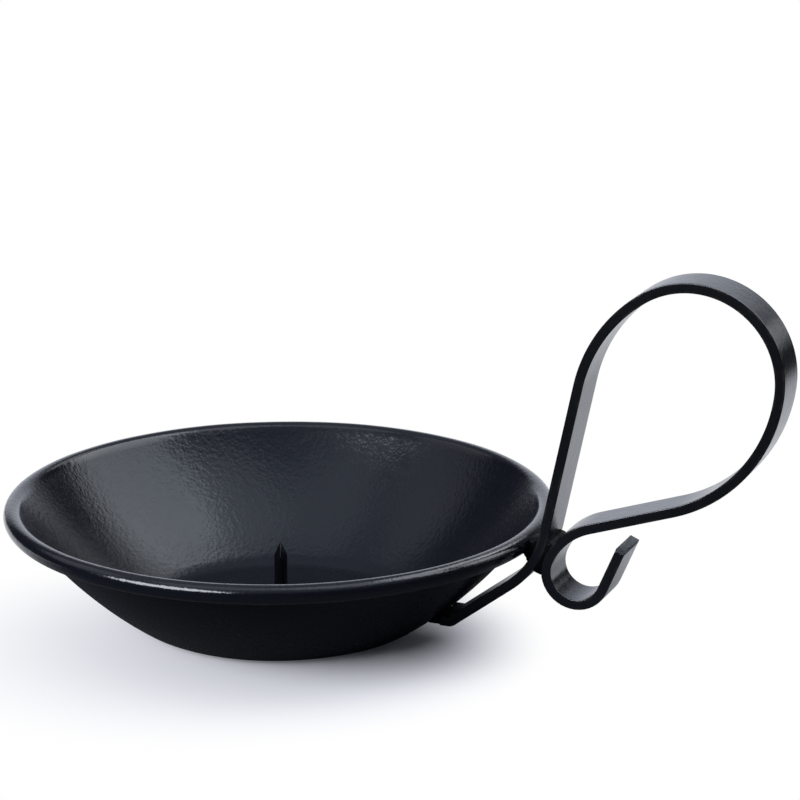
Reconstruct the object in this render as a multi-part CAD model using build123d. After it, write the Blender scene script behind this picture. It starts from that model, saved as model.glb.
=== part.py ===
from build123d import *
import os
from math import acos, asin, atan2, cos, degrees, hypot, radians, sin, sqrt

# Chamberstick: a pressed sheet pan with a rolled rim, a pricket spike on its floor, and one flat
# strip bent into brace, finger loop and hook. Millimetres and degrees, +Z up, the origin at the
# middle of the base underside, the handle along +X.

# Drip pan, sizes of the outer face
pan_radius = 65.0
pan_height = 29.5
sheet = 0.8
base_radius = 29.5
corner_radius = 11.8
wall_radius = 100.0
roll_radius = 2.2
curl_gap = 0.3  # the end of the roll to the wall

# Pricket spike
shank_diameter = 3.1
spike_height = 17.1
point_length = 4.6
tip_width = 0.25
point_turn = 65.0  # one ridge of the four-sided point faces this way, clockwise from +X
spike_weld_leg = 1.3

# Handle strip, bend radii on the middle of its thickness
strip_width = 10.5
strip_thickness = 2.3
edge_round = 0.3
leg_lean = 11.9  # from upright
return_slope = 18.3  # above level
foot_height = 4.85
foot_length = 2.0  # level, before its bend
foot_bend_radius = 1.6
rim_bend_radius = 22.0
shoulder_radius = 34.1
shoulder_turn = 44.1
crown_radius = 20.15
crown_turn = 130.2
flank_radius = 34.2
throat_radius = 15.5
throat_turn = 48.2
hook_radius = 7.0
hook_turn = 180.6
tail_length = 10.85

# Welds
seat_angle = 23.9  # the line through rim, rim bend and throat falls outwards by this
seat_gap = 1.0  # rim to strip
pass_gap = 0.6  # leg to throat
foot_gap = 0.25  # pan wall to the strip's foot
weld_inset = 0.55  # each weld stops this short of the strip's edges
rim_weld_reach = 5.0  # along the strip, each way from the seat line
rim_weld_spread = 62.0  # around the roll, each way from the seat line
upper_weld_reach = 2.8  # along the leg, up from the seat line
lower_weld_reach = 3.6  # along the brace, down from the seat line
weld_hollow_share = 0.16  # how deep a weld's open side is dished, of its own width
foot_weld_rise = 0.25  # the foot weld's underside lies this far above the strip's

half_strip = strip_thickness / 2
half_width = strip_width / 2


def polar(middle, distance, angle):
    """The point at a distance and an angle from another point."""
    x, z = middle
    return x + distance * cos(radians(angle)), z + distance * sin(radians(angle))


def turn_along(length, radius):
    """The angle that a length takes up along a bend."""
    return degrees(length / radius)


def crossing(first, first_distance, second, second_distance):
    """The point at given distances from two points, on the left of the way from first to second."""
    run, rise = second[0] - first[0], second[1] - first[1]
    apart = hypot(run, rise)
    along = (first_distance ** 2 - second_distance ** 2 + apart ** 2) / (2 * apart)
    turn = degrees(acos(along / first_distance))
    return polar(first, first_distance, degrees(atan2(rise, run)) + turn)


def route_sides(start, heading, steps, half):
    """The two long sides of a strip along a route of ("run", length) and ("bend", radius, turn)."""
    sides = []
    for side in (half, -half):
        edges = []
        point, angle = polar(start, side, heading + 90), heading
        for kind, size, *turn in steps:
            way = (cos(radians(angle)), sin(radians(angle)))
            if kind == "run":
                edge = Line(point, polar(point, size, angle))
            else:
                inward = side if turn[0] > 0 else -side
                edge = JernArc(point, way, size - inward, turn[0])
                angle += turn[0]
            edges.append(edge)
            point = (edge @ 1).X, (edge @ 1).Y
        sides.append(edges)
    return sides


def strip_face(start, heading, steps, half):
    """A strip of even thickness along a route, closed by a square cut at each end."""
    left, right = route_sides(start, heading, steps, half)
    return make_face(left + right + [Line(left[0] @ 0, right[0] @ 0), Line(left[-1] @ 1, right[-1] @ 1)])


def across(face, width):
    """A face drawn in X and Z, drawn out evenly to both sides along Y."""
    return extrude(Plane.XZ * face, amount=width / 2, both=True)


# Where the pan's profile turns
corner_middle = (base_radius, corner_radius)
roll_middle = (pan_radius - roll_radius, pan_height - roll_radius)
wall_middle = crossing(corner_middle, wall_radius - corner_radius,
                       roll_middle, wall_radius + roll_radius - sheet)
wall_start = degrees(atan2(corner_middle[1] - wall_middle[1], corner_middle[0] - wall_middle[0])) + 90
wall_end = degrees(atan2(roll_middle[1] - wall_middle[1], roll_middle[0] - wall_middle[0])) + 90


def wall_at(height, inset=0.0):
    """The radius of the pan's outer wall at a height, or of a face inset from it."""
    return wall_middle[0] + sqrt((wall_radius - inset) ** 2 - (wall_middle[1] - height) ** 2)


# The rim rolls from the wall over the top, until its end comes within the curl gap of the wall
roll_turn = 360 - degrees(acos((roll_radius - sheet - curl_gap) / roll_radius))

# Where the strip's bends sit: rim, rim bend and throat share the seat line
bend_middle = polar(roll_middle, rim_bend_radius - half_strip - roll_radius - seat_gap, 180 - seat_angle)
throat_reach = rim_bend_radius + strip_thickness + pass_gap + throat_radius
throat_middle = polar(bend_middle, throat_reach, -seat_angle)

leg_heading = 90 - leg_lean
return_heading = return_slope - 180
leg_start = polar(bend_middle, rim_bend_radius, leg_heading - 90)
throat_start = polar(throat_middle, throat_radius, return_heading - 90)

# The foot runs level from the pan's wall, and the brace is the straight that joins its two bends
foot_level = foot_height + half_strip
foot_start = wall_at(foot_height + strip_thickness) + foot_gap
bends_run = bend_middle[0] - foot_start - foot_length
bends_rise = bend_middle[1] - foot_level - foot_bend_radius
bends_apart = hypot(bends_run, bends_rise)
brace_swing = degrees(asin((rim_bend_radius - foot_bend_radius) / bends_apart))
brace_slope = degrees(atan2(bends_rise, bends_run)) - brace_swing
brace_length = bends_apart * cos(radians(brace_swing))

# The leg and the return are as long as the loop's three arcs need to close
flank_turn = leg_heading - return_heading - shoulder_turn - crown_turn
loop_arcs = [("bend", shoulder_radius, -shoulder_turn), ("bend", crown_radius, -crown_turn),
             ("bend", flank_radius, -flank_turn)]
loop_middle_line, _ = route_sides(leg_start, leg_heading, loop_arcs, 0)
loop_end = loop_middle_line[-1] @ 1
short_x, short_z = throat_start[0] - loop_end.X, throat_start[1] - loop_end.Y
leg_way, return_way = polar((0, 0), 1, leg_heading), polar((0, 0), 1, return_heading)
spin = leg_way[0] * return_way[1] - leg_way[1] * return_way[0]
leg_length = (short_x * return_way[1] - short_z * return_way[0]) / spin
return_length = (leg_way[0] * short_z - leg_way[1] * short_x) / spin

strip_route = [
    ("run", foot_length),
    ("bend", foot_bend_radius, brace_slope),
    ("run", brace_length),
    ("bend", rim_bend_radius, leg_heading - brace_slope),
    ("run", leg_length),
    *loop_arcs,
    ("run", return_length),
    ("bend", throat_radius, throat_turn),
    ("bend", hook_radius, hook_turn),
    ("run", tail_length),
]


def make_drip_pan():
    """One sheet: level base, dished wall, and a rim rolled outwards into a hollow bead."""
    half = sheet / 2
    route = [
        ("run", base_radius),
        ("bend", corner_radius - half, wall_start),
        ("bend", wall_radius - half, wall_end - wall_start),
        ("bend", roll_radius - half, -roll_turn / 2),
        ("bend", roll_radius - half, -roll_turn / 2),
    ]
    return revolve(Plane.XZ * strip_face((0, half), 0, route, half), axis=Axis.Z)


def make_pricket_spike():
    """A round shank on the pan's floor, cut to a four-sided point like a nail's."""
    shank_length = spike_height - point_length
    shank = Cylinder(shank_diameter / 2, shank_length, align=(Align.CENTER, Align.CENTER, Align.MIN))
    round_point = Cylinder(shank_diameter / 2, point_length, align=(Align.CENTER, Align.CENTER, Align.MIN))
    flats = loft([Rectangle(shank_diameter, shank_diameter),
                  Pos(0, 0, point_length) * Rectangle(tip_width, tip_width)], ruled=True)
    ridge_to_x = 45
    point = Pos(0, 0, shank_length) * (round_point & Rot(0, 0, ridge_to_x - point_turn) * flats)
    return Pos(0, 0, sheet) * (shank + point)


def make_handle_strip():
    """The whole handle: foot, brace, leg, finger loop, return and snuffer hook."""
    blank = across(strip_face((foot_start, foot_level), 0, strip_route, half_strip), strip_width)
    long_edges = blank.edges().filter_by_position(Axis.Y, -half_width, -half_width)
    long_edges += blank.edges().filter_by_position(Axis.Y, half_width, half_width)
    return fillet(long_edges, edge_round)


def dished(start, end):
    """The open side of a weld: a shallow hollow between two points, on the left of the way."""
    return SagittaArc(start, end, -weld_hollow_share * hypot(end[0] - start[0], end[1] - start[1]))


def make_rim_weld(pan, strip):
    """Fills the gap between the rolled rim and the strip, above and below the seat line."""
    inside_roll = roll_radius - sheet / 2
    reach = turn_along(rim_weld_reach, rim_bend_radius)
    roll_low, roll_seat, roll_high = [polar(roll_middle, inside_roll, turn - seat_angle)
                                      for turn in (-rim_weld_spread, 0, rim_weld_spread)]
    bend_low, bend_seat, bend_high = [polar(bend_middle, rim_bend_radius, turn - seat_angle)
                                      for turn in (-reach, 0, reach)]
    outline = [ThreePointArc(roll_low, roll_seat, roll_high), dished(roll_high, bend_high),
               ThreePointArc(bend_high, bend_seat, bend_low), dished(bend_low, roll_low)]
    return across(make_face(outline), strip_width - 2 * weld_inset) - pan - strip


def make_loop_weld(strip):
    """Fills the notches where the leg and the throat pass back to back."""
    upper, lower = [turn_along(reach, rim_bend_radius) for reach in (upper_weld_reach, lower_weld_reach)]
    bend_low, bend_seat, bend_high = [polar(bend_middle, rim_bend_radius, turn - seat_angle)
                                      for turn in (-lower, 0, upper)]
    upper, lower = [turn_along(reach, throat_radius) for reach in (upper_weld_reach, lower_weld_reach)]
    throat_low, throat_seat, throat_high = [polar(throat_middle, throat_radius, 180 - seat_angle + turn)
                                            for turn in (lower, 0, -upper)]
    outline = [ThreePointArc(bend_high, bend_seat, bend_low), dished(bend_low, throat_low),
               ThreePointArc(throat_low, throat_seat, throat_high), dished(throat_high, bend_high)]
    return across(make_face(outline), strip_width - 2 * weld_inset) - strip


def make_foot_weld(pan, strip):
    """Fills the wedge between the pan's wall and the square end of the strip's foot."""
    low = foot_height + foot_weld_rise
    wall_low, wall_high = [(wall_at(height, sheet / 2), height) for height in (low, foot_level)]
    strip_low, strip_high = [(foot_start + half_strip, height) for height in (low, foot_level)]
    wedge = make_face(Polyline(wall_high, wall_low, strip_low, strip_high, wall_high))
    return across(wedge, strip_width - 2 * weld_inset) - pan - strip


def make_spike_weld():
    """A fillet all round the foot of the spike."""
    inner = shank_diameter / 2
    outer = inner + spike_weld_leg
    top = sheet + spike_weld_leg
    section = make_face([Line((inner, sheet), (outer, sheet)), dished((outer, sheet), (inner, top)),
                         Line((inner, top), (inner, sheet))])
    return revolve(Plane.XZ * section, axis=Axis.Z)


drip_pan = make_drip_pan()
handle_strip = make_handle_strip()
pieces = {
    "drip_pan": drip_pan,
    "pricket_spike": make_pricket_spike(),
    "handle_strip": handle_strip,
    "spike_weld": make_spike_weld(),
    "rim_weld": make_rim_weld(drip_pan, handle_strip),
    "loop_weld": make_loop_weld(handle_strip),
    "foot_weld": make_foot_weld(drip_pan, handle_strip),
}

os.makedirs("parts", exist_ok=True)
for name, piece in pieces.items():
    export_step(piece, f"parts/{name}.step")
print(f"leg {leg_length:.2f}, return {return_length:.2f}, brace {brace_length:.2f} at {brace_slope:.2f} degrees")
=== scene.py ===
from math import acos, asin, atan2, cos, pi, radians, sin, sqrt

import bmesh
import bpy
from mathutils import Matrix, Vector, noise


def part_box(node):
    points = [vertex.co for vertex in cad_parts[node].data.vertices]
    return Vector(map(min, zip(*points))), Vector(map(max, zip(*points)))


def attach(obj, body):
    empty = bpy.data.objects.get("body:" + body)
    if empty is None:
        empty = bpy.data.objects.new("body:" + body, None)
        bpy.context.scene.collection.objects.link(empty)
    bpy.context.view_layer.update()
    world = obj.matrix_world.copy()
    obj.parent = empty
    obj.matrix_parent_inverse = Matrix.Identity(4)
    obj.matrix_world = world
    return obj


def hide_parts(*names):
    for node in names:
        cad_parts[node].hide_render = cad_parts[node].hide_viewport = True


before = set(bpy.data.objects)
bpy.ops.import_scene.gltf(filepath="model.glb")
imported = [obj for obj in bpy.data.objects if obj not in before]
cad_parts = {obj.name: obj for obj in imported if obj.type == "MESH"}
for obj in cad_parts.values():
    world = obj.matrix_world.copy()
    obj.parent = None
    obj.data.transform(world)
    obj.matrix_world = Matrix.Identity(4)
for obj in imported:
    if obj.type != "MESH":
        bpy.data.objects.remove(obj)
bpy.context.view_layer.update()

mm = 0.001
mergeGap = 0.002 * mm
print("frame loaded:", ", ".join(sorted(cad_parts)))


class Wire:  # wraps a socket, so sums of wires and numbers add Math nodes
    def __init__(self, tree, socket=None):
        self.tree, self.socket = tree, socket

    def add(self, kind, settings=None, inputs=None, output=0):
        node = self.tree.nodes.new(kind)
        for name, value in (settings or {}).items():
            if name == "stops":
                self.setStops(node.color_ramp.elements, value)
            else:
                setattr(node, name, value)
        for name, value in (inputs or {}).items():
            if isinstance(value, Wire):
                self.tree.links.new(value.socket, node.inputs[name])
            else:
                node.inputs[name].default_value = value
        return Wire(self.tree, node.outputs[output] if len(node.outputs) else None)

    def setStops(self, elements, stops):
        while len(elements) < len(stops):
            elements.new(1)
        for element, (place, shade) in zip(elements, stops):
            element.position, element.color = place, (shade, shade, shade, 1)

    def maths(self, operation, first, second):
        return self.add("ShaderNodeMath", {"operation": operation}, {0: first, 1: second})

    def __add__(self, other):
        return self.maths("ADD", self, other)

    __radd__ = __add__

    def __sub__(self, other):
        return self.maths("SUBTRACT", self, other)

    def __rsub__(self, other):
        return self.maths("SUBTRACT", other, self)

    def __mul__(self, other):
        return self.maths("MULTIPLY", self, other)

    __rmul__ = __mul__


def newMaterial(name):
    material = bpy.data.materials.new(name)
    material.use_nodes = True
    material.node_tree.nodes.clear()
    return material, Wire(material.node_tree)


def tint(wire, share, *colours):
    pair = {slot: colour if isinstance(colour, Wire) else (*colour, 1) for slot, colour in zip((6, 7), colours)}
    return wire.add("ShaderNodeMix", {"data_type": "RGBA"}, {"Factor": share, **pair}, 2)


def cloudy(wire, place, size, detail):
    return wire.add("ShaderNodeTexNoise", None, {"Vector": place, "Scale": 1 / size, "Detail": detail})


def along(wire, place, way):
    return wire.add("ShaderNodeVectorMath", {"operation": "DOT_PRODUCT"}, {0: place, 1: way}, "Value")


def easeIn(wire, value, low, high):
    return wire.add("ShaderNodeMapRange", {"interpolation_type": "SMOOTHSTEP"},
                    {"Value": value, "From Min": low, "From Max": high})


panCoat = {
    "dark": (0.0021, 0.0030, 0.0064), "pale": (0.0048, 0.0060, 0.0098), "cloudShare": 0.6,
    # lighter brown laid in patches on the strip's rounded corners: a painted edge highlight
    "rub": (0.016, 0.013, 0.012), "edgeHighlightFrom": 0.50, "edgeHighlightTo": 0.62, "rubSize": 5 * mm, "rubDetail": 4.0,
    "roughness": 0.25, "grainRoughness": 0.10, "cloudRoughness": 0.07, "mottleRoughness": 0.12,
    "rollGloss": 0.11, "rollCalm": 0.15, "rollCoat": 0.34, "coatRoughness": 0.17,
    "grainSize": 0.45 * mm, "grainDetail": 2.0, "grainShare": 0.38, "grainDepth": 0.050 * mm,
    "peelSize": 1.4 * mm, "peelDetail": 1.0, "peelShare": 1.2,  # orange peel
    "beadSize": 0.85 * mm, "beadSmoothness": 0.5, "beadShare": 0.65,
    "cloudSize": 17 * mm, "cloudDetail": 3.0, "mottleSize": 2.4 * mm, "mottleDetail": 2.0,
    "ior": 1.45, "glossTint": (0.80, 0.88, 1.0),
    "sheen": 0.0, "sheenRoughness": 0.26, "sheenTint": (0.74, 0.79, 1.0),
}
stripCoat = {
    **panCoat, "dark": (0.0014, 0.0017, 0.0030), "pale": (0.0030, 0.0034, 0.0048),
    "roughness": 0.20, "grainDepth": 0.024 * mm, "ior": 1.73, "sheen": 0.04,
}
spikeCoat = {**stripCoat, "roughness": 0.26, "grainDepth": 0.02 * mm, "ior": 1.22, "sheen": 0.0}
weldCoat = {
    **panCoat, "dark": (0.0018, 0.0020, 0.0028), "pale": (0.0040, 0.0042, 0.0050),
    "roughness": 0.48, "ior": 1.16,
}


def powderCoat(name, look):
    material, wire = newMaterial(name)
    place = wire.add("ShaderNodeTexCoord", output="Object")
    grain, peel, cloud, mottle, rub = [cloudy(wire, place, look[kind + "Size"], look[kind + "Detail"])
                                       for kind in ("grain", "peel", "cloud", "mottle", "rub")]
    beads = wire.add("ShaderNodeTexVoronoi", {"feature": "SMOOTH_F1"}, {
        "Vector": place, "Scale": 1 / look["beadSize"], "Smoothness": look["beadSmoothness"],
    }, "Distance")
    # the marked rounded corners are painted lighter brown in patches, a painted edge highlight
    edge = wire.add("ShaderNodeAttribute", {"attribute_name": "edgeRub"}, output="Fac")
    rolled = wire.add("ShaderNodeAttribute", {"attribute_name": "rolledEdge"}, output="Fac")
    edgeHighlightStops = [(look["edgeHighlightFrom"], 0), (look["edgeHighlightTo"], 1)]
    patches = wire.add("ShaderNodeValToRGB", {"stops": edgeHighlightStops}, {"Fac": rub})
    shading = cloud * look["cloudShare"] + grain * (1 - look["cloudShare"])
    coat = tint(wire, shading, look["dark"], look["pale"])
    uneven = (grain - 0.5) * look["grainRoughness"] + (cloud - 0.5) * look["cloudRoughness"]
    uneven = uneven + (mottle - 0.5) * look["mottleRoughness"]
    uneven = uneven - rolled * look["rollGloss"]  # powder runs smooth over the rolled rim
    relief = grain * look["grainShare"] + peel * look["peelShare"] - beads * look["beadShare"]
    height = relief * (1 - rolled * look["rollCalm"])
    bumps = wire.add("ShaderNodeBump", None, {"Distance": look["grainDepth"], "Height": height})
    shader = wire.add("ShaderNodeBsdfPrincipled", None, {
        "Base Color": tint(wire, edge * patches, coat, look["rub"]),
        "Roughness": look["roughness"] + uneven, "Normal": bumps,
        "IOR": look["ior"], "Specular Tint": (*look["glossTint"], 1),
        "Sheen Weight": look["sheen"], "Sheen Roughness": look["sheenRoughness"],
        "Sheen Tint": (*look["sheenTint"], 1),
        "Coat Weight": rolled * look["rollCoat"], "Coat Roughness": look["coatRoughness"],
    })
    wire.add("ShaderNodeOutputMaterial", None, {"Surface": shader})
    return material


looks = {"pan_coat": panCoat, "strip_coat": stripCoat, "spike_coat": spikeCoat, "weld_coat": weldCoat}
coats = {name: powderCoat(name, look) for name, look in looks.items()}
print("coats mixed:", len(coats))


def follow(bm, tip, point, heading, route):  # draws an open end along runs and bends in the XZ plane
    for kind, size, *rest in route:
        ahead = Vector((cos(heading), 0, sin(heading)))
        if kind == "run":
            count = rest[0]
            drawn = bmesh.ops.spin(bm, geom=tip, cent=point, axis=(0, 1, 0), dvec=ahead * size / count,
                                   angle=0, steps=count)
            point = point + ahead * size
        else:
            turn, count = rest
            left = Vector((-sin(heading), 0, cos(heading)))
            middle = point + left * (size if turn > 0 else -size)
            drawn = bmesh.ops.spin(bm, geom=tip, cent=middle, axis=(0, -1, 0), angle=turn, steps=count)
            point = middle + Matrix.Rotation(-turn, 3, "Y") @ (point - middle)
            heading += turn
        tip = drawn["geom_last"]
    return tip


def polar(middle, distance, angle):
    return middle + distance * Vector((cos(angle), 0, sin(angle)))


def crossing(first, firstDistance, second, secondDistance):  # to the left of the way from first to second
    way = second - first
    share = (firstDistance ** 2 - secondDistance ** 2 + way.length_squared) / (2 * way.length)
    return polar(first, firstDistance, atan2(way.z, way.x) + acos(share / firstDistance))


def angleTo(middle, point):
    return atan2(point.z - middle.z, point.x - middle.x)


def edgesOf(geom):
    return [part for part in geom if isinstance(part, bmesh.types.BMEdge)]


def finishPiece(bm, name, node, slotName):
    bmesh.ops.remove_doubles(bm, verts=bm.verts, dist=mergeGap)
    bmesh.ops.recalc_face_normals(bm, faces=bm.faces)
    mesh = bpy.data.meshes.new(name)
    bm.to_mesh(mesh)
    bm.free()
    mesh.materials.append(coats[slotName])
    mesh.shade_smooth()
    piece = bpy.data.objects.new(name, mesh)
    bpy.context.scene.collection.objects.link(piece)
    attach(piece, "root")
    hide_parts(node)
    print(name, len(mesh.polygons), "faces")
    return piece


dripPan = {
    "radius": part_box("drip_pan")[1][0], "height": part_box("drip_pan")[1][2], "sheet": 0.8 * mm,
    "baseRadius": 29.5 * mm, "cornerRadius": 11.8 * mm, "wallRadius": 100 * mm,
    "rollRadius": 2.2 * mm, "curlGap": 0.3 * mm,
    "baseSteps": 6, "cornerSteps": 10, "wallSteps": 26, "rollSteps": 40, "around": 224,
    "waveSize": 16 * mm, "waveDepth": 0.05 * mm, "waveFrom": 2 * mm,
}


def panMiddles(pan):
    corner = Vector((pan["baseRadius"], 0, pan["cornerRadius"]))
    roll = Vector((pan["radius"] - pan["rollRadius"], 0, pan["height"] - pan["rollRadius"]))
    wall = crossing(corner, pan["wallRadius"] - pan["cornerRadius"],
                    roll, pan["wallRadius"] + pan["rollRadius"] - pan["sheet"])
    return corner, wall, roll


def makeDripPan(pan):
    corner, wall, roll = panMiddles(pan)
    sheet, rollRadius = pan["sheet"], pan["rollRadius"]
    wallStart = angleTo(wall, corner) + pi / 2
    wallTurn = angleTo(wall, roll) + pi / 2 - wallStart
    rollTurn = 2 * pi - acos((rollRadius - sheet - pan["curlGap"]) / rollRadius)
    bm = bmesh.new()
    rolled = bm.verts.layers.float.new("rolledEdge")
    ends = []
    for level in (0, sheet):  # the sheet's under and upper sides
        start = bm.verts.new((0, 0, level))
        ends += follow(bm, [start], start.co.copy(), 0, [
            ("run", pan["baseRadius"], pan["baseSteps"]),
            ("bend", pan["cornerRadius"] - level, wallStart, pan["cornerSteps"]),
            ("bend", pan["wallRadius"] - level, wallTurn, pan["wallSteps"]),
            ("bend", rollRadius - sheet + level, -rollTurn, pan["rollSteps"]),
        ])
    bm.edges.new([v for v in ends if isinstance(v, bmesh.types.BMVert)])  # the cut end of the sheet
    bmesh.ops.spin(bm, geom=bm.verts[:] + bm.edges[:], cent=(0, 0, 0), axis=(0, 0, 1), angle=2 * pi,
                   steps=pan["around"], use_merge=True)
    bmesh.ops.remove_doubles(bm, verts=bm.verts, dist=mergeGap)
    bm.normal_update()
    for v in bm.verts:
        fromRoll = Vector((v.co.xy.length - roll.x, 0, v.co.z - roll.z)).length
        v[rolled] = 1.0 if fromRoll < rollRadius + mergeGap else 0.0
    for v in bm.verts:  # a pressed sheet is never quite true, but it stands level
        depth = pan["waveDepth"] * min(1, v.co.z / pan["waveFrom"])
        v.co += v.normal * noise.noise(v.co / pan["waveSize"]) * depth
    finishPiece(bm, "dripPan", "drip_pan", "pan_coat")


makeDripPan(dripPan)

handleStrip = {
    "width": 10.5 * mm, "thickness": 2.3 * mm, "edgeRound": 0.2 * mm, "edgeSegments": 4,
    "faceCuts": 3, "step": 1.0 * mm, "leastSteps": 6,
    "legLean": radians(11.9), "returnSlope": radians(18.3),
    "footHeight": 4.85 * mm, "footLength": 2.0 * mm, "footBend": 1.6 * mm, "footGap": 0.25 * mm,
    "rimBend": 22.0 * mm, "seatAngle": radians(23.9), "seatGap": 1.0 * mm, "passGap": 0.6 * mm,
    "shoulderBend": 34.1 * mm, "shoulderTurn": radians(44.1),
    "crownBend": 20.15 * mm, "crownTurn": radians(130.2), "flankBend": 34.2 * mm,
    "throatBend": 15.5 * mm, "throatTurn": radians(48.2),
    "hookBend": 7.0 * mm, "hookTurn": radians(180.6), "tailLength": 10.85 * mm,
}


def stripRoute(strip, pan):
    _, wall, roll = panMiddles(pan)
    half = strip["thickness"] / 2
    rimReach = strip["rimBend"] - half - pan["rollRadius"] - strip["seatGap"]
    rimMiddle = polar(roll, rimReach, pi - strip["seatAngle"])
    throatReach = strip["rimBend"] + strip["thickness"] + strip["passGap"] + strip["throatBend"]
    throatMiddle = polar(rimMiddle, throatReach, -strip["seatAngle"])
    legHeading, returnHeading = pi / 2 - strip["legLean"], strip["returnSlope"] - pi
    footDrop = wall.z - strip["footHeight"] - strip["thickness"]  # the foot's top corner meets the wall
    footReach = wall.x + sqrt(pan["wallRadius"] ** 2 - footDrop ** 2) + strip["footGap"]
    footStart = Vector((footReach, 0, strip["footHeight"] + half))
    footMiddle = footStart + Vector((strip["footLength"], 0, strip["footBend"]))
    apart = (rimMiddle - footMiddle).length
    swing = asin((strip["rimBend"] - strip["footBend"]) / apart)
    braceSlope = angleTo(footMiddle, rimMiddle) - swing
    flankTurn = legHeading - returnHeading - strip["shoulderTurn"] - strip["crownTurn"]
    bends = [(strip["shoulderBend"], strip["shoulderTurn"]), (strip["crownBend"], strip["crownTurn"]),
             (strip["flankBend"], flankTurn)]
    heading, loopWay = legHeading, Vector()
    for bend, turn in bends:
        loopWay += polar(Vector(), bend, heading - turn + pi / 2) - polar(Vector(), bend, heading + pi / 2)
        heading -= turn
    legStart = polar(rimMiddle, strip["rimBend"], legHeading - pi / 2)
    short = polar(throatMiddle, strip["throatBend"], returnHeading - pi / 2) - legStart - loopWay
    legWay, returnWay = polar(Vector(), 1, legHeading), polar(Vector(), 1, returnHeading)
    spread = legWay.x * returnWay.z - legWay.z * returnWay.x  # leg and return close the loop
    legLength = (short.x * returnWay.z - short.z * returnWay.x) / spread
    returnLength = (legWay.x * short.z - legWay.z * short.x) / spread
    return footStart, [
        ("run", strip["footLength"]), ("bend", strip["footBend"], braceSlope), ("run", apart * cos(swing)),
        ("bend", strip["rimBend"], legHeading - braceSlope), ("run", legLength),
        *[("bend", bend, -turn) for bend, turn in bends], ("run", returnLength),
        ("bend", strip["throatBend"], strip["throatTurn"]), ("bend", strip["hookBend"], strip["hookTurn"]),
        ("run", strip["tailLength"]),
    ]


def makeHandleStrip(strip, pan):
    footStart, route = stripRoute(strip, pan)
    for i, (kind, size, *turn) in enumerate(route):
        length = size * abs(turn[0]) if turn else size
        route[i] = (kind, size, *turn, max(strip["leastSteps"], round(length / strip["step"])))
    bm = bmesh.new()
    bmesh.ops.create_grid(bm, x_segments=1, y_segments=1, size=0.5)
    bmesh.ops.scale(bm, vec=(strip["thickness"], strip["width"], 1), verts=bm.verts)
    bmesh.ops.bevel(bm, geom=bm.verts[:], offset=strip["edgeRound"], affect="VERTICES",
                    segments=strip["edgeSegments"], profile=0.5, material=-1)
    rub = bm.verts.layers.float.new("edgeRub")
    longEdges = [e for e in bm.edges if e.calc_length() > strip["edgeRound"] * 2]
    bmesh.ops.subdivide_edges(bm, edges=longEdges, cuts=strip["faceCuts"])
    bmesh.ops.rotate(bm, matrix=Matrix.Rotation(pi / 2, 3, "Y"), verts=bm.verts)
    for v in bm.verts:  # only the rounded corners get the painted edge highlight
        onCorner = strip["width"] / 2 - abs(v.co.y) < strip["edgeRound"]
        onCorner &= strip["thickness"] / 2 - abs(v.co.z) < strip["edgeRound"]
        v[rub] = 1.0 if onCorner else 0.0
    bmesh.ops.translate(bm, vec=footStart, verts=bm.verts)
    tip = follow(bm, bm.verts[:] + bm.edges[:], footStart, 0, route)
    bmesh.ops.contextual_create(bm, geom=edgesOf(tip))  # the square-cut end
    piece = finishPiece(bm, "handleStrip", "handle_strip", "strip_coat")
    piece.modifiers.new("flatFaces", "WEIGHTED_NORMAL").keep_sharp = True


makeHandleStrip(handleStrip, dripPan)

pricketSpike = {
    "pointLength": 4.6 * mm, "tipWidth": 0.25 * mm, "ridgeWay": radians(-65), "ridgeRound": 0.09 * mm,
    "ridgeAngle": radians(25), "ridgeShare": 0.98, "ridgeSegments": 2, "sharpAngle": radians(32), "around": 64,
}


def makeSpike(spike):
    low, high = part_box("pricket_spike")
    radius, height = (high[0] - low[0]) / 2, high[2] - low[2]
    bm = bmesh.new()
    bmesh.ops.create_cone(bm, cap_ends=True, segments=spike["around"], radius1=radius, radius2=radius,
                          depth=height)
    bmesh.ops.translate(bm, vec=(0, 0, low[2] + height / 2), verts=bm.verts)
    lean = atan2(radius - spike["tipWidth"] / 2, spike["pointLength"])
    for side in range(4):  # four flats cut the point
        way = spike["ridgeWay"] + pi / 4 + side * pi / 2
        outward = Vector((cos(way), sin(way), 0))
        tipEdge = outward * spike["tipWidth"] / 2 + Vector((0, 0, high[2]))
        flat = outward * cos(lean) + Vector((0, 0, sin(lean)))
        cut = bmesh.ops.bisect_plane(bm, geom=bm.verts[:] + bm.edges[:] + bm.faces[:], plane_co=tipEdge,
                                     plane_no=flat, clear_outer=True)
        bmesh.ops.contextual_create(bm, geom=edgesOf(cut["geom_cut"]))
    bmesh.ops.remove_doubles(bm, verts=bm.verts, dist=mergeGap * 2)
    bmesh.ops.recalc_face_normals(bm, faces=bm.faces)
    pointFoot = high[2] - spike["pointLength"] * spike["ridgeShare"]
    ridges = [e for e in bm.edges if e.is_manifold and e.calc_face_angle() > spike["ridgeAngle"]
              and max(v.co.z for v in e.verts) > pointFoot]
    bmesh.ops.bevel(bm, geom=ridges, offset=spike["ridgeRound"], affect="EDGES",
                    segments=spike["ridgeSegments"], profile=0.5, material=-1)
    piece = finishPiece(bm, "pricketSpike", "pricket_spike", "spike_coat")
    piece.data.set_sharp_from_angle(angle=spike["sharpAngle"])


makeSpike(pricketSpike)

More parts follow.
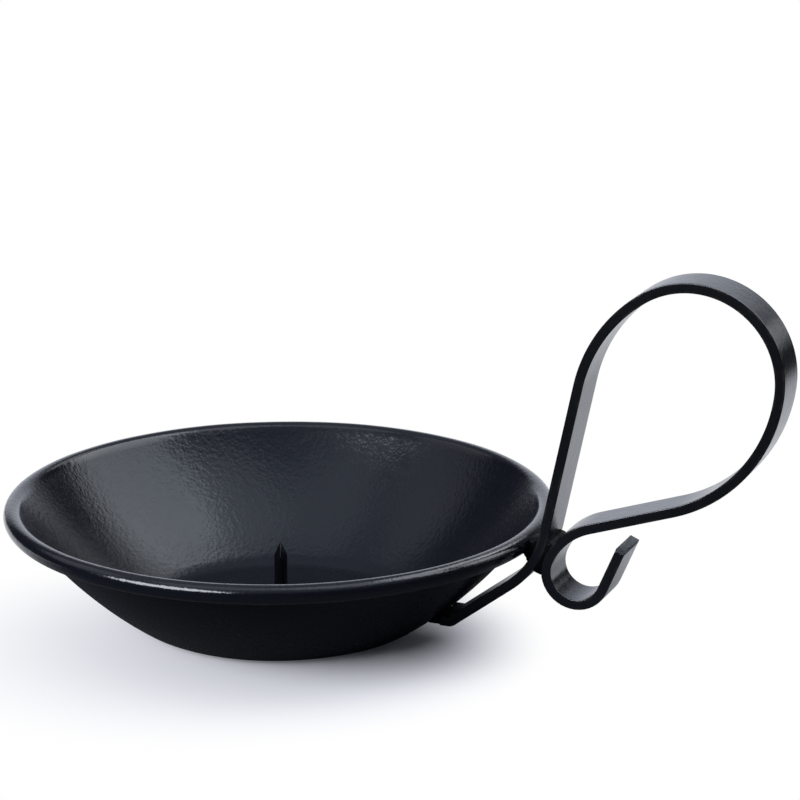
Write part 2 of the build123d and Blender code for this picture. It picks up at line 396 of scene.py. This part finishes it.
weldBead = {"smoothing": 0.5, "passes": 6, "crestMiddle": 0.4, "lumpShare": 0.8}
welds = {
    "rimWeld": {"node": "rim_weld", "fill": 0.30 * mm, "grid": 0.17 * mm, "ripple": 1.5 * mm,
                "depth": 0.16 * mm, "lump": 2.1 * mm},
    "loopWeld": {"node": "loop_weld", "fill": 0.45 * mm, "grid": 0.17 * mm, "ripple": 1.4 * mm,
                 "depth": 0.15 * mm, "lump": 2.4 * mm},
    "footWeld": {"node": "foot_weld", "fill": 0.15 * mm, "grid": 0.14 * mm, "ripple": 1.3 * mm,
                 "depth": 0.12 * mm, "lump": 1.8 * mm},
    "spikeWeld": {"node": "spike_weld", "fill": 0.10 * mm, "grid": 0.14 * mm, "ripple": 1.2 * mm,
                  "depth": 0.12 * mm, "lump": 1.5 * mm},
}


def makeWeld(name, weld, bead):  # the CAD fillet, rounded off and rippled as a laid bead is
    bm = bmesh.new()
    bm.from_mesh(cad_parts[weld["node"]].data)
    bmesh.ops.remove_doubles(bm, verts=bm.verts, dist=mergeGap)
    blankMesh = bpy.data.meshes.new(name + "Blank")
    bm.to_mesh(blankMesh)
    bm.free()
    blank = bpy.data.objects.new(name + "Blank", blankMesh)
    bpy.context.scene.collection.objects.link(blank)
    remesh = blank.modifiers.new("even", "REMESH")
    remesh.mode, remesh.voxel_size = "VOXEL", weld["grid"]
    smoothing = blank.modifiers.new("round", "SMOOTH")
    smoothing.factor, smoothing.iterations = bead["smoothing"], bead["passes"]
    evened = bpy.data.meshes.new_from_object(blank.evaluated_get(bpy.context.evaluated_depsgraph_get()))
    bpy.data.objects.remove(blank)
    bm = bmesh.new()
    bm.from_mesh(evened)
    bm.normal_update()
    for v in bm.verts:
        swing = noise.noise(v.co / weld["lump"])
        crest = abs(sin(pi * (v.co.y / weld["ripple"] + swing)))
        swell = crest - bead["crestMiddle"] + swing * bead["lumpShare"]
        v.co += v.normal * (weld["fill"] + weld["depth"] * swell)
    finishPiece(bm, name, weld["node"], "weld_coat")


for weldName, weld in welds.items():
    makeWeld(weldName, weld, weldBead)

viewpoint = {
    "target": (0, 0, 15 * mm), "distance": 650 * mm, "azimuth": radians(25.57), "elevation": radians(18.96),
    "pan": 0.0446, "tilt": 0.0557, "roll": 0.0159, "lens": 122.5, "sensor": 36, "nearest": 10 * mm,
}


def wayTo(azimuth, elevation):  # azimuth from the camera, to its right
    turn = viewpoint["azimuth"] + azimuth
    return Vector((sin(turn) * cos(elevation), -cos(turn) * cos(elevation), sin(elevation)))


def turned(first, second, angle):  # both axes turned in their own plane
    return first * cos(angle) - second * sin(angle), first * sin(angle) + second * cos(angle)


def makeCamera(look):
    back = wayTo(0, look["elevation"])
    ahead = -back
    right = ahead.cross(Vector((0, 0, 1))).normalized()
    up = right.cross(ahead)
    right, ahead = turned(right, ahead, look["pan"])
    up, ahead = turned(up, ahead, look["tilt"])
    right, up = turned(right, up, look["roll"])
    camera = bpy.data.objects.new("camera", bpy.data.cameras.new("camera"))
    camera.data.lens, camera.data.sensor_width = look["lens"], look["sensor"]
    camera.data.clip_start = look["nearest"]
    stand = Matrix.Translation(Vector(look["target"]) + back * look["distance"])
    camera.matrix_world = stand @ Matrix((right, up, -ahead)).transposed().to_4x4()
    bpy.context.scene.collection.objects.link(camera)
    bpy.context.scene.camera = camera


backdrop = {
    "azimuth": radians(174), "white": radians(20), "edge": radians(42), "top": radians(26), "end": radians(48),
    "colour": (0.86, 0.90, 1.0), "ceilingFrom": radians(25), "ceilingTo": radians(66),
    "skyColour": (0.85, 0.90, 1.0), "skyStrength": 0.20, "ceilingStrength": 0.42, "roomStrength": 0.04,
}


def rays(wire, first, *others):  # 1 for the kinds of ray that are named
    path = wire.add("ShaderNodeLightPath").socket.node
    found = Wire(wire.tree, path.outputs[first])
    for name in others:
        found = found + Wire(wire.tree, path.outputs[name])
    return found


def makeBackdrop(look):  # reflections see a pale sweep behind the piece and a dim room round it
    world = bpy.context.scene.world or bpy.data.worlds.new("studio")
    bpy.context.scene.world = world
    world.use_nodes = True
    world.node_tree.nodes.clear()
    wire = Wire(world.node_tree)
    way = wire.add("ShaderNodeTexCoord", output="Generated")
    upward = along(wire, way, (0, 0, 1))
    rear = easeIn(wire, along(wire, way, wayTo(look["azimuth"], 0)), cos(look["edge"]), cos(look["white"]))
    onSweep = rear * (1 - easeIn(wire, upward, sin(look["top"]), sin(look["end"])))
    overhead = easeIn(wire, upward, sin(look["ceilingFrom"]), sin(look["ceilingTo"]))
    sky = look["skyColour"]
    lights = {
        "white": ((1, 1, 1), 1.0), "sweep": (look["colour"], 1.0), "sky": (sky, look["skyStrength"]),
        "room": (sky, look["roomStrength"]), "ceiling": (sky, look["ceilingStrength"]),
    }
    glow = {name: wire.add("ShaderNodeBackground", None, {"Color": (*colour, 1), "Strength": strength})
            for name, (colour, strength) in lights.items()}
    camera, mirrors = rays(wire, "Is Camera Ray"), rays(wire, "Is Glossy Ray", "Is Transmission Ray")
    above = wire.add("ShaderNodeMixShader", None, {"Fac": overhead, 1: glow["room"], 2: glow["ceiling"]})
    mirrored = wire.add("ShaderNodeMixShader", None, {"Fac": onSweep, 1: above, 2: glow["sweep"]})
    indoors = wire.add("ShaderNodeMixShader", None, {"Fac": mirrors, 1: glow["sky"], 2: mirrored})
    shown = wire.add("ShaderNodeMixShader", None, {"Fac": camera, 1: indoors, 2: glow["white"]})
    wire.add("ShaderNodeOutputWorld", None, {"Surface": shown})


floorPaper = {
    # the lift numbers place a painted glow over the floor's shadow, seen only by the camera
    "size": 8.0, "paper": (0.77, 0.785, 0.85), "liftColour": (0.86, 0.88, 1.0),
    "liftCentre": (0.035, -0.0045, 0), "liftLean": 0.586, "liftFrom": 0.0044, "liftTo": 0.054,
    # everything but the camera sees the paper painted dark, a painted shade, darker still further out in front
    "paintedShadeNear": (0.075, 0.08, 0.095), "paintedShadeFar": (0.05, 0.05, 0.055),
    "mirrorLight": (0.93, 0.95, 1.0),
    "mirrorFrom": 0.058, "mirrorTo": 0.088, "rearEase": 0.045, "farShadeFrom": 0.09, "farShadeTo": 0.14,
    "sideFrom": 0.24, "sideTo": 0.36,
}


def makeFloor(look, sweep):
    bm = bmesh.new()
    bmesh.ops.create_grid(bm, x_segments=1, y_segments=1, size=look["size"] / 2)
    mesh = bpy.data.meshes.new("floor")
    bm.to_mesh(mesh)
    bm.free()
    floor = bpy.data.objects.new("floor", mesh)
    bpy.context.scene.collection.objects.link(floor)
    material, wire = newMaterial("floorPaper")
    camera, mirrors = rays(wire, "Is Camera Ray"), rays(wire, "Is Glossy Ray", "Is Transmission Ray")
    place = wire.add("ShaderNodeTexCoord", output="Object")
    away = wire.add("ShaderNodeVectorMath", {"operation": "LENGTH"}, {0: place}, "Value")
    offset = wire.add("ShaderNodeVectorMath", {"operation": "SUBTRACT"}, {0: place, 1: look["liftCentre"]})
    reach = wire.add("ShaderNodeVectorMath", {"operation": "LENGTH"}, {0: offset}, "Value")
    aside = along(wire, offset, wayTo(pi / 2, 0))
    clear = easeIn(wire, reach + aside * look["liftLean"], look["liftFrom"], look["liftTo"])  # painted lift over the floor's shadow; the shadow is left longer on the left
    sideways = along(wire, place, wayTo(sweep["azimuth"] - pi / 2, 0))
    offSide = easeIn(wire, sideways * sideways, look["sideFrom"] ** 2, look["sideTo"] ** 2)
    behind = along(wire, place, wayTo(pi, 0))
    rear = easeIn(wire, behind, -look["rearEase"], look["rearEase"]) * (1 - offSide)
    farShade = easeIn(wire, away, look["farShadeFrom"], look["farShadeTo"]) * (1 - rear)
    # reflections and bounce light see the floor painted dark, a painted shade; reflections see white only
    # behind the piece
    seen = tint(wire, camera, tint(wire, farShade, look["paintedShadeNear"], look["paintedShadeFar"]), look["paper"])
    shaded = wire.add("ShaderNodeBsdfDiffuse", None, {"Color": seen})
    # the camera sees a painted glow over the real shadow: bluish where it lifts the shadow, white further out
    white = tint(wire, camera, look["mirrorLight"], tint(wire, clear, look["liftColour"], (1, 1, 1)))
    lit = wire.add("ShaderNodeEmission", None, {"Color": white, "Strength": 1.0})
    share = clear * camera + easeIn(wire, away, look["mirrorFrom"], look["mirrorTo"]) * rear * mirrors
    surface = wire.add("ShaderNodeMixShader", None, {"Fac": share, 1: shaded, 2: lit})
    wire.add("ShaderNodeOutputMaterial", None, {"Surface": surface})
    mesh.materials.append(material)


softboxes = {
    "rightBox": {"azimuth": 103, "elevation": 48, "distance": 0.45, "size": (0.37, 0.38), "watts": 1.0},
    "lowRightBox": {"azimuth": 104, "elevation": 18, "distance": 0.45, "size": (0.28, 0.15), "watts": 0.09},
    "leftBox": {"azimuth": 311, "elevation": 32, "distance": 1.0, "size": (0.84, 0.40), "watts": 9.9},
    "rearLeftBox": {"azimuth": 252, "elevation": 42, "distance": 1.0, "size": (0.70, 0.50), "watts": 0.35},
    "rearRightBox": {"azimuth": 140, "elevation": 42, "distance": 1.0, "size": (0.45, 0.35), "watts": 0.4},
    "overheadLeft": {"azimuth": 300, "elevation": 72, "distance": 1.0, "size": (0.60, 0.60), "watts": 0.5},
    "overheadRight": {"azimuth": 60, "elevation": 72, "distance": 1.0, "size": (0.60, 0.60), "watts": 0.9},
}


def makeSoftbox(name, look):
    lamp = bpy.data.lights.new(name, "AREA")
    lamp.shape = "ELLIPSE"
    lamp.size, lamp.size_y = look["size"]
    lamp.energy = look["watts"]
    way = wayTo(radians(look["azimuth"]), radians(look["elevation"]))
    box = bpy.data.objects.new(name, lamp)
    box.visible_camera = False
    box.location = way * look["distance"]
    box.rotation_euler = way.to_track_quat("Z", "Y").to_euler()
    bpy.context.scene.collection.objects.link(box)


makeCamera(viewpoint)
makeBackdrop(backdrop)
makeFloor(floorPaper, backdrop)
for boxName, look in softboxes.items():
    makeSoftbox(boxName, look)
bpy.context.scene.view_settings.view_transform = "Standard"
print("studio set")
